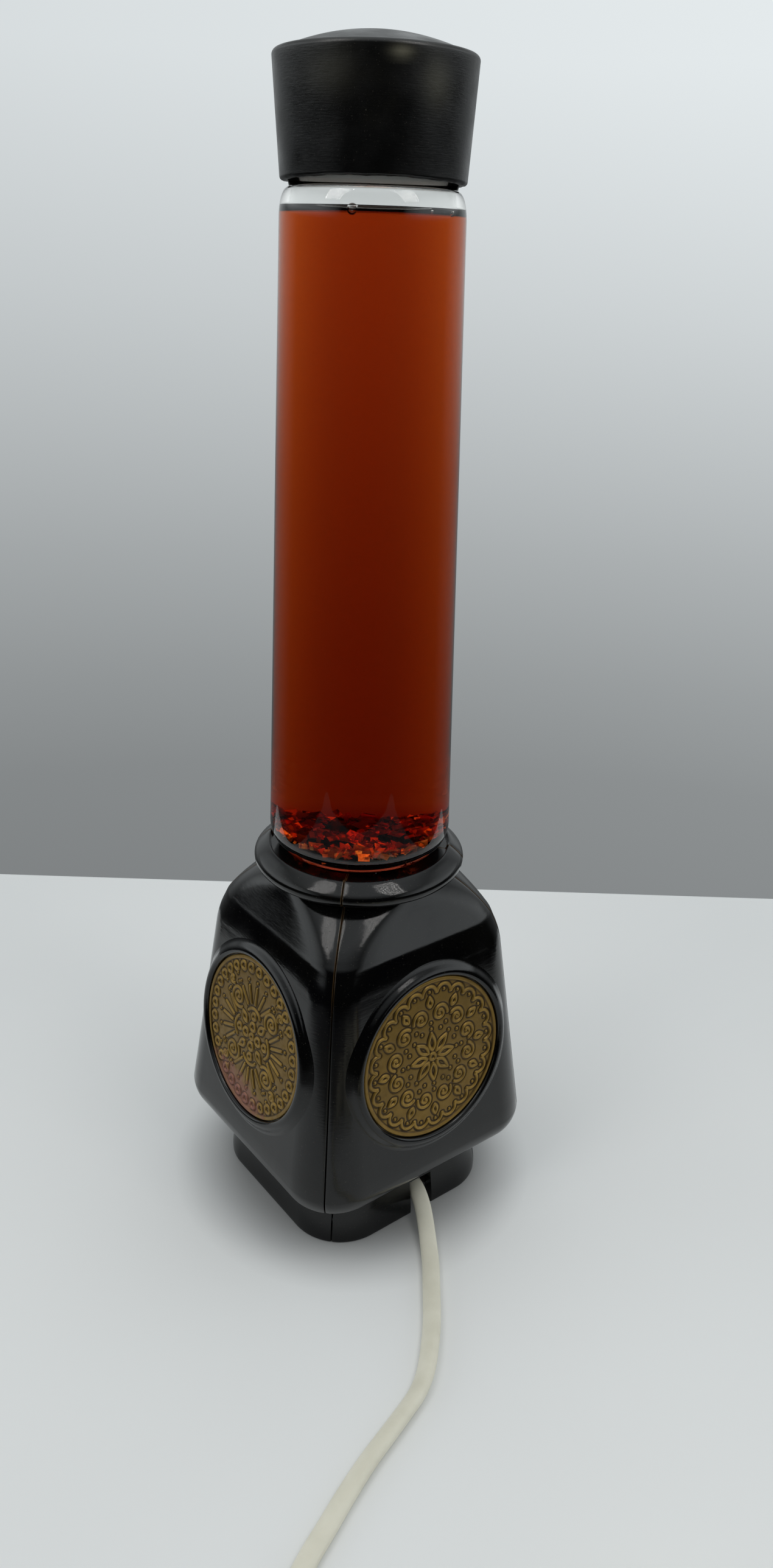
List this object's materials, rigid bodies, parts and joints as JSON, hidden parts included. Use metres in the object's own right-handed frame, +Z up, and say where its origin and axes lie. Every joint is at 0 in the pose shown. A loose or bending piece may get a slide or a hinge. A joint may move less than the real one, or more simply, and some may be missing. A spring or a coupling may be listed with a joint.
{
  "type": "glitter lamp",
  "caption": "Table glitter lamp: sealed tapered glass bottle of amber liquid and foil flakes with a black cap, on a square flared black base with round brass medallions and a flat mains cord.",
  "frame": {"origin": "on the floor below the axis of the bottle, in the middle of the foot", "axes": "+Z up along the bottle, -Y out of the face of the base that has the cord notch"},
  "size_m": [0.1824, 0.3275, 0.38],
  "materials": {
    "black_plastic": "satin moulded plastic, scuffed",
    "old_brass": "stamped, dulled and darkened in the grooves",
    "steel": "zinc plated",
    "bright_brass": "bright",
    "bakelite": "dark brown moulding",
    "bulb_glass": "clear",
    "clear_glass": "clear blown glass",
    "tungsten": "dull wire",
    "amber_liquid": "clear coloured liquid",
    "red_foil": "bright dyed foil",
    "stopper_rubber": "matte",
    "cream_pvc": "soft cord sheath",
    "cream_plastic": "glossy moulding",
    "brown_core": "wire sheath",
    "blue_core": "wire sheath"
  },
  "bodies": {
    "base": {"front_side_shell": "black_plastic", "right_side_shell": "black_plastic", "rear_side_shell": "black_plastic", "left_side_shell": "black_plastic", "front_medallion": "old_brass", "right_medallion": "old_brass", "rear_medallion": "old_brass", "left_medallion": "old_brass", "bottom_plate": "steel", "bottom_plate_screws": "steel", "holder_tube": "steel", "holder_nuts": "bright_brass", "holder_base": "bakelite", "holder_sleeve": "bakelite", "holder_screw_shell": "bright_brass", "holder_centre_contact": "bright_brass", "cord_clamp": "cream_plastic", "cord_clamp_screws": "steel", "live_wire": "brown_core", "neutral_wire": "blue_core", "cord_lead": "cream_pvc", "switch_lower_shell": "cream_plastic", "switch_upper_shell": "cream_plastic", "switch_pivot_pin": "steel", "switch_screws": "steel", "cord_coil": "cream_pvc", "coil_tie": "cream_pvc", "plug_body": "cream_plastic", "plug_pins": "steel"},
    "bottle": {"glass_bottle": "clear_glass", "coloured_liquid": "amber_liquid", "foil_glitter": "red_foil", "bottle_stopper": "stopper_rubber"},
    "cap": {"top_cap": "black_plastic"},
    "bulb": {"bulb_glass": "bulb_glass", "bulb_screw_cap": "bright_brass", "bulb_centre_contact": "steel", "bulb_stem": "bulb_glass", "bulb_filament": "tungsten"},
    "rocker": {"switch_rocker": "cream_plastic"}
  },
  "joints": [
    {"name": "bottle_lift", "type": "slide", "parent": "base", "child": "bottle", "axis": [0, 0, 1], "range_m": [0, 0.06]},
    {"name": "cap_lift", "type": "slide", "parent": "bottle", "child": "cap", "axis": [0, 0, 1], "range_m": [0, 0.03]},
    {"name": "bulb_turn", "type": "hinge", "parent": "base", "child": "bulb", "pos_m": [0, 0, 0.04], "axis": [0, 0, 1], "range_deg": [0, 1080]},
    {"name": "rocker_press", "type": "hinge", "parent": "base", "child": "rocker", "pos_m": [-0.114, -0.189, 0.0105], "axis": [0.9397, 0.342, 0], "range_deg": [0, 16]}
  ]
}
